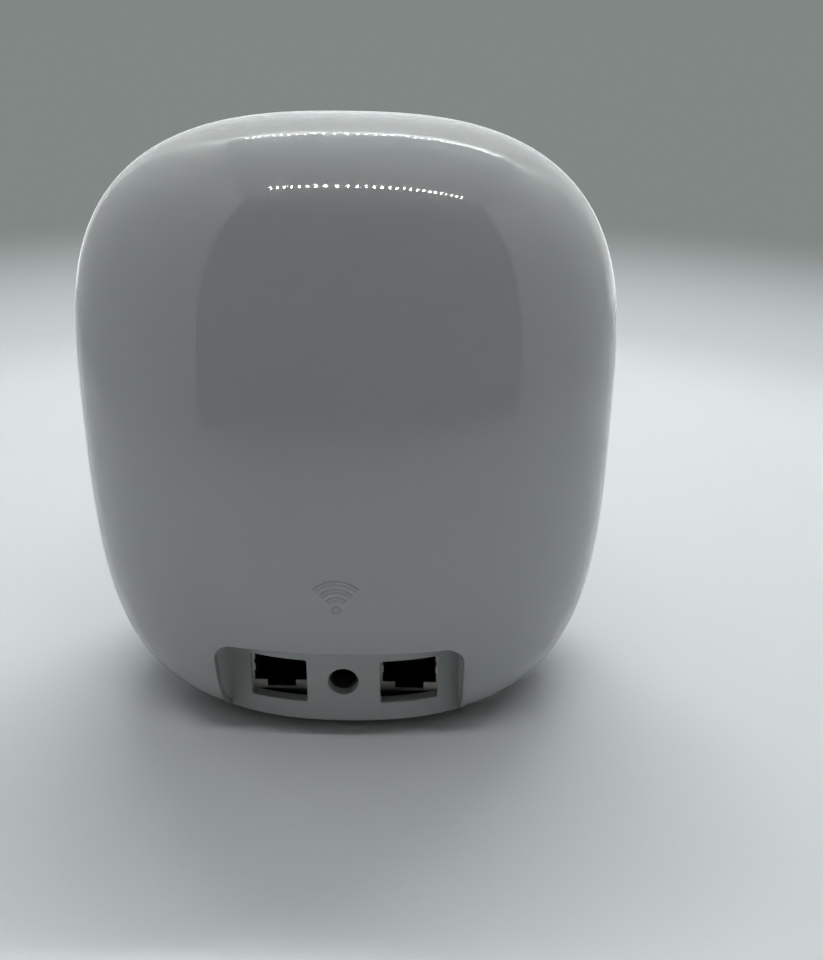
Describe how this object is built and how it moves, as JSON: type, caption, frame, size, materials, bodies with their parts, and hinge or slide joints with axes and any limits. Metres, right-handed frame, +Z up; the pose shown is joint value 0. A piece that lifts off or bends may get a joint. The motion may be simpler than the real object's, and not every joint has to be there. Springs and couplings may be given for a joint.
{
  "type": "mesh wifi node",
  "caption": "Egg-like free-standing mesh wifi node with a recessed rear port panel, network sockets, a round power socket, soft foot and underside reset button.",
  "frame": {"origin": "centre of the foot print on the table", "axes": "+Z up, +Y out of the port side, -Y the front with the status light, +X to the left when facing the ports"},
  "size_m": [0.117, 0.0849, 0.13],
  "materials": {
    "shell_gloss": "gloss",
    "bezel_matte": "matte",
    "base_plastic": "matte",
    "foot_silicone": "matte",
    "label_film": "satin",
    "button_plastic": "satin",
    "switch_plastic": "satin",
    "plunger_plastic": "satin",
    "board": "satin",
    "chip_epoxy": "matte",
    "shield_steel": "satin",
    "nickel": "polished",
    "spreader_alu": "satin",
    "thermal_pad": "matte",
    "light_plastic": "gloss",
    "led": "gloss",
    "frame_plastic": "matte",
    "antenna_copper": "satin",
    "cable_jacket": "satin",
    "contact_gold": "polished",
    "connector_plastic": "satin",
    "insert_plastic": "satin",
    "screw_steel": "satin",
    "transformer_black": "matte",
    "inductor_ferrite": "matte",
    "capacitor_can": "satin"
  },
  "bodies": {
    "body": {"outer_shell": "shell_gloss", "port_bezel": "bezel_matte", "base_cover": "base_plastic", "foot_ring": "foot_silicone", "base_label": "label_film", "reset_switch_body": "switch_plastic", "io_board": "board", "main_board": "board", "board_connector_header": "connector_plastic", "board_connector_socket": "connector_plastic", "board_connector_pins": "contact_gold", "processor_chip": "chip_epoxy", "memory_chips": "chip_epoxy", "processor_shield_can": "shield_steel", "radio_chips": "chip_epoxy", "radio_shield_can": "shield_steel", "thermal_pad_rear": "thermal_pad", "thermal_pad_front": "thermal_pad", "rear_heat_spreader": "spreader_alu", "front_heat_spreader": "spreader_alu", "status_led": "led", "light_pipe": "light_plastic", "inner_frame": "frame_plastic", "antenna_right": "antenna_copper", "antenna_top_right": "antenna_copper", "antenna_left": "antenna_copper", "antenna_top_left": "antenna_copper", "board_antenna": "antenna_copper", "coax_plugs": "contact_gold", "antenna_cable_right": "cable_jacket", "antenna_cable_left": "cable_jacket", "antenna_cable_top_right": "cable_jacket", "antenna_cable_top_left": "cable_jacket", "ethernet_shield_left": "nickel", "ethernet_shield_right": "nickel", "ethernet_insert_left": "insert_plastic", "ethernet_insert_right": "insert_plastic", "ethernet_contacts_left": "contact_gold", "ethernet_contacts_right": "contact_gold", "dc_jack_housing": "connector_plastic", "dc_jack_sleeve": "nickel", "dc_jack_pin": "nickel", "dc_jack_spring": "nickel", "ethernet_transformers": "transformer_black", "power_inductors": "inductor_ferrite", "bulk_capacitors": "capacitor_can", "base_screws": "screw_steel", "shell_screws": "screw_steel", "board_screws": "screw_steel", "spreader_screws": "screw_steel"},
    "reset_key": {"reset_button": "button_plastic"},
    "switch_plunger": {"reset_switch_plunger": "plunger_plastic"}
  },
  "joints": [
    {"name": "reset_press", "type": "slide", "parent": "body", "child": "reset_key", "axis": [0, 0, 1], "range_m": [0, 0.0005], "stiffness_N_per_m": 200, "springref_m": -0.0002},
    {"name": "switch_press", "type": "slide", "parent": "body", "child": "switch_plunger", "axis": [0, 0, 1], "range_m": [0, 0.0005]}
  ],
  "couplings": [
    {"joint": "switch_press", "follows": "reset_press", "ratio": 1}
  ]
}
